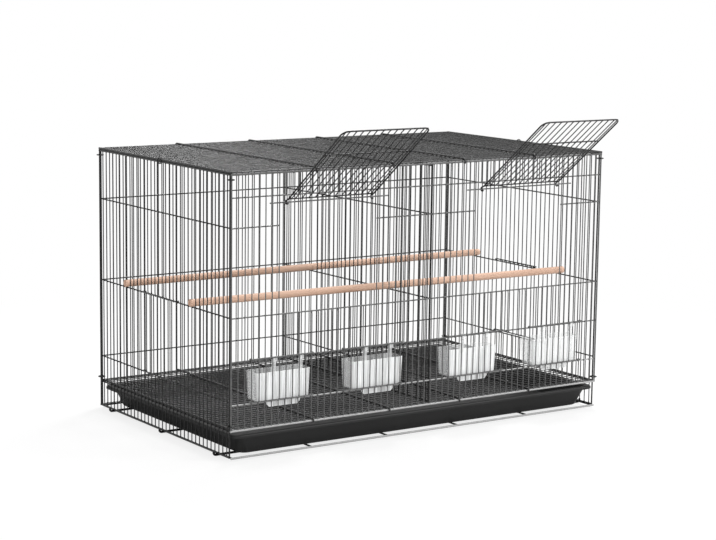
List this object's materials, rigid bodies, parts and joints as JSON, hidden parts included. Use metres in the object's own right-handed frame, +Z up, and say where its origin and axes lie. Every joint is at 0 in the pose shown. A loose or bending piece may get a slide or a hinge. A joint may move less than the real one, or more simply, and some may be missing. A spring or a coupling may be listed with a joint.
{
  "type": "wire bird cage",
  "caption": "Wide black wire bird cage with a divider, swing-up front doors, sliding feeder and nest gates, clear cups, wooden perches and a slide-out tray.",
  "frame": {"origin": "on the floor, in the middle of the cage's footprint, on the underside of the middle base wire", "axes": "+X to the right as seen from the front, +Y to the back, +Z up"},
  "size_m": [0.7776, 0.6284, 0.5405],
  "materials": {
    "black_wire": "satin powder coat",
    "black_plastic": "fine grain",
    "clear_plastic": "clear, glossy",
    "pale_wood": "sanded, bare"
  },
  "bodies": {
    "cage": {"base_frame": "black_wire", "floor_grille": "black_wire", "left_side_panel": "black_wire", "right_side_panel": "black_wire", "back_panel": "black_wire", "front_panel": "black_wire", "roof_panel": "black_wire", "divider_panel": "black_wire", "ring_upper_front_left": "black_wire", "ring_lower_front_left": "black_wire", "ring_upper_back_left": "black_wire", "ring_lower_back_left": "black_wire", "ring_upper_front_right": "black_wire", "ring_lower_front_right": "black_wire", "ring_upper_back_right": "black_wire", "ring_lower_back_right": "black_wire", "side_clip_left": "black_wire", "side_clip_right": "black_wire"},
    "tray": {"tray": "black_plastic"},
    "front_door_left": {"front_door_left": "black_wire"},
    "front_door_right": {"front_door_right": "black_wire"},
    "feeder_door_1": {"feeder_door_1": "black_wire"},
    "feeder_door_2": {"feeder_door_2": "black_wire"},
    "feeder_door_3": {"feeder_door_3": "black_wire"},
    "feeder_door_4": {"feeder_door_4": "black_wire"},
    "feeder_cup_1": {"feeder_cup_1": "clear_plastic"},
    "feeder_cup_2": {"feeder_cup_2": "clear_plastic"},
    "feeder_cup_3": {"feeder_cup_3": "clear_plastic"},
    "feeder_cup_4": {"feeder_cup_4": "clear_plastic"},
    "nest_door_left": {"nest_door_left": "black_wire"},
    "nest_door_right": {"nest_door_right": "black_wire"},
    "perch_rear": {"perch_rear": "pale_wood"},
    "perch_front": {"perch_front": "pale_wood"}
  },
  "joints": [
    {"name": "front_door_left_hinge", "type": "hinge", "parent": "cage", "child": "front_door_left", "pos_m": [-0.19685, -0.23012, 0.4135], "axis": [1, 0, 0], "range_deg": [-37.5, 127.5]},
    {"name": "front_door_right_hinge", "type": "hinge", "parent": "cage", "child": "front_door_right", "pos_m": [0.19685, -0.23012, 0.4135], "axis": [1, 0, 0], "range_deg": [-37.5, 127.5]},
    {"name": "tray_slide", "type": "slide", "parent": "cage", "child": "tray", "axis": [0, -1, 0], "range_m": [0, 0.42]},
    {"name": "feeder_door_1_slide", "type": "slide", "parent": "cage", "child": "feeder_door_1", "axis": [0, 0, 1], "range_m": [0, 0.04]},
    {"name": "feeder_door_2_slide", "type": "slide", "parent": "cage", "child": "feeder_door_2", "axis": [0, 0, 1], "range_m": [0, 0.04]},
    {"name": "feeder_door_3_slide", "type": "slide", "parent": "cage", "child": "feeder_door_3", "axis": [0, 0, 1], "range_m": [0, 0.04]},
    {"name": "feeder_door_4_slide", "type": "slide", "parent": "cage", "child": "feeder_door_4", "axis": [0, 0, 1], "range_m": [0, 0.04]},
    {"name": "feeder_cup_1_lift", "type": "slide", "parent": "cage", "child": "feeder_cup_1", "axis": [0, 0, 1], "range_m": [0, 0.012]},
    {"name": "feeder_cup_2_lift", "type": "slide", "parent": "cage", "child": "feeder_cup_2", "axis": [0, 0, 1], "range_m": [0, 0.012]},
    {"name": "feeder_cup_3_lift", "type": "slide", "parent": "cage", "child": "feeder_cup_3", "axis": [0, 0, 1], "range_m": [0, 0.012]},
    {"name": "feeder_cup_4_lift", "type": "slide", "parent": "cage", "child": "feeder_cup_4", "axis": [0, 0, 1], "range_m": [0, 0.012]},
    {"name": "nest_door_left_slide", "type": "slide", "parent": "cage", "child": "nest_door_left", "axis": [0, 0, 1], "range_m": [0, 0.12]},
    {"name": "nest_door_right_slide", "type": "slide", "parent": "cage", "child": "nest_door_right", "axis": [0, 0, 1], "range_m": [0, 0.12]},
    {"name": "perch_rear_lift", "type": "slide", "parent": "cage", "child": "perch_rear", "axis": [0, 0, 1], "range_m": [0, 0.06]},
    {"name": "perch_front_lift", "type": "slide", "parent": "cage", "child": "perch_front", "axis": [0, 0, 1], "range_m": [0, 0.06]}
  ]
}
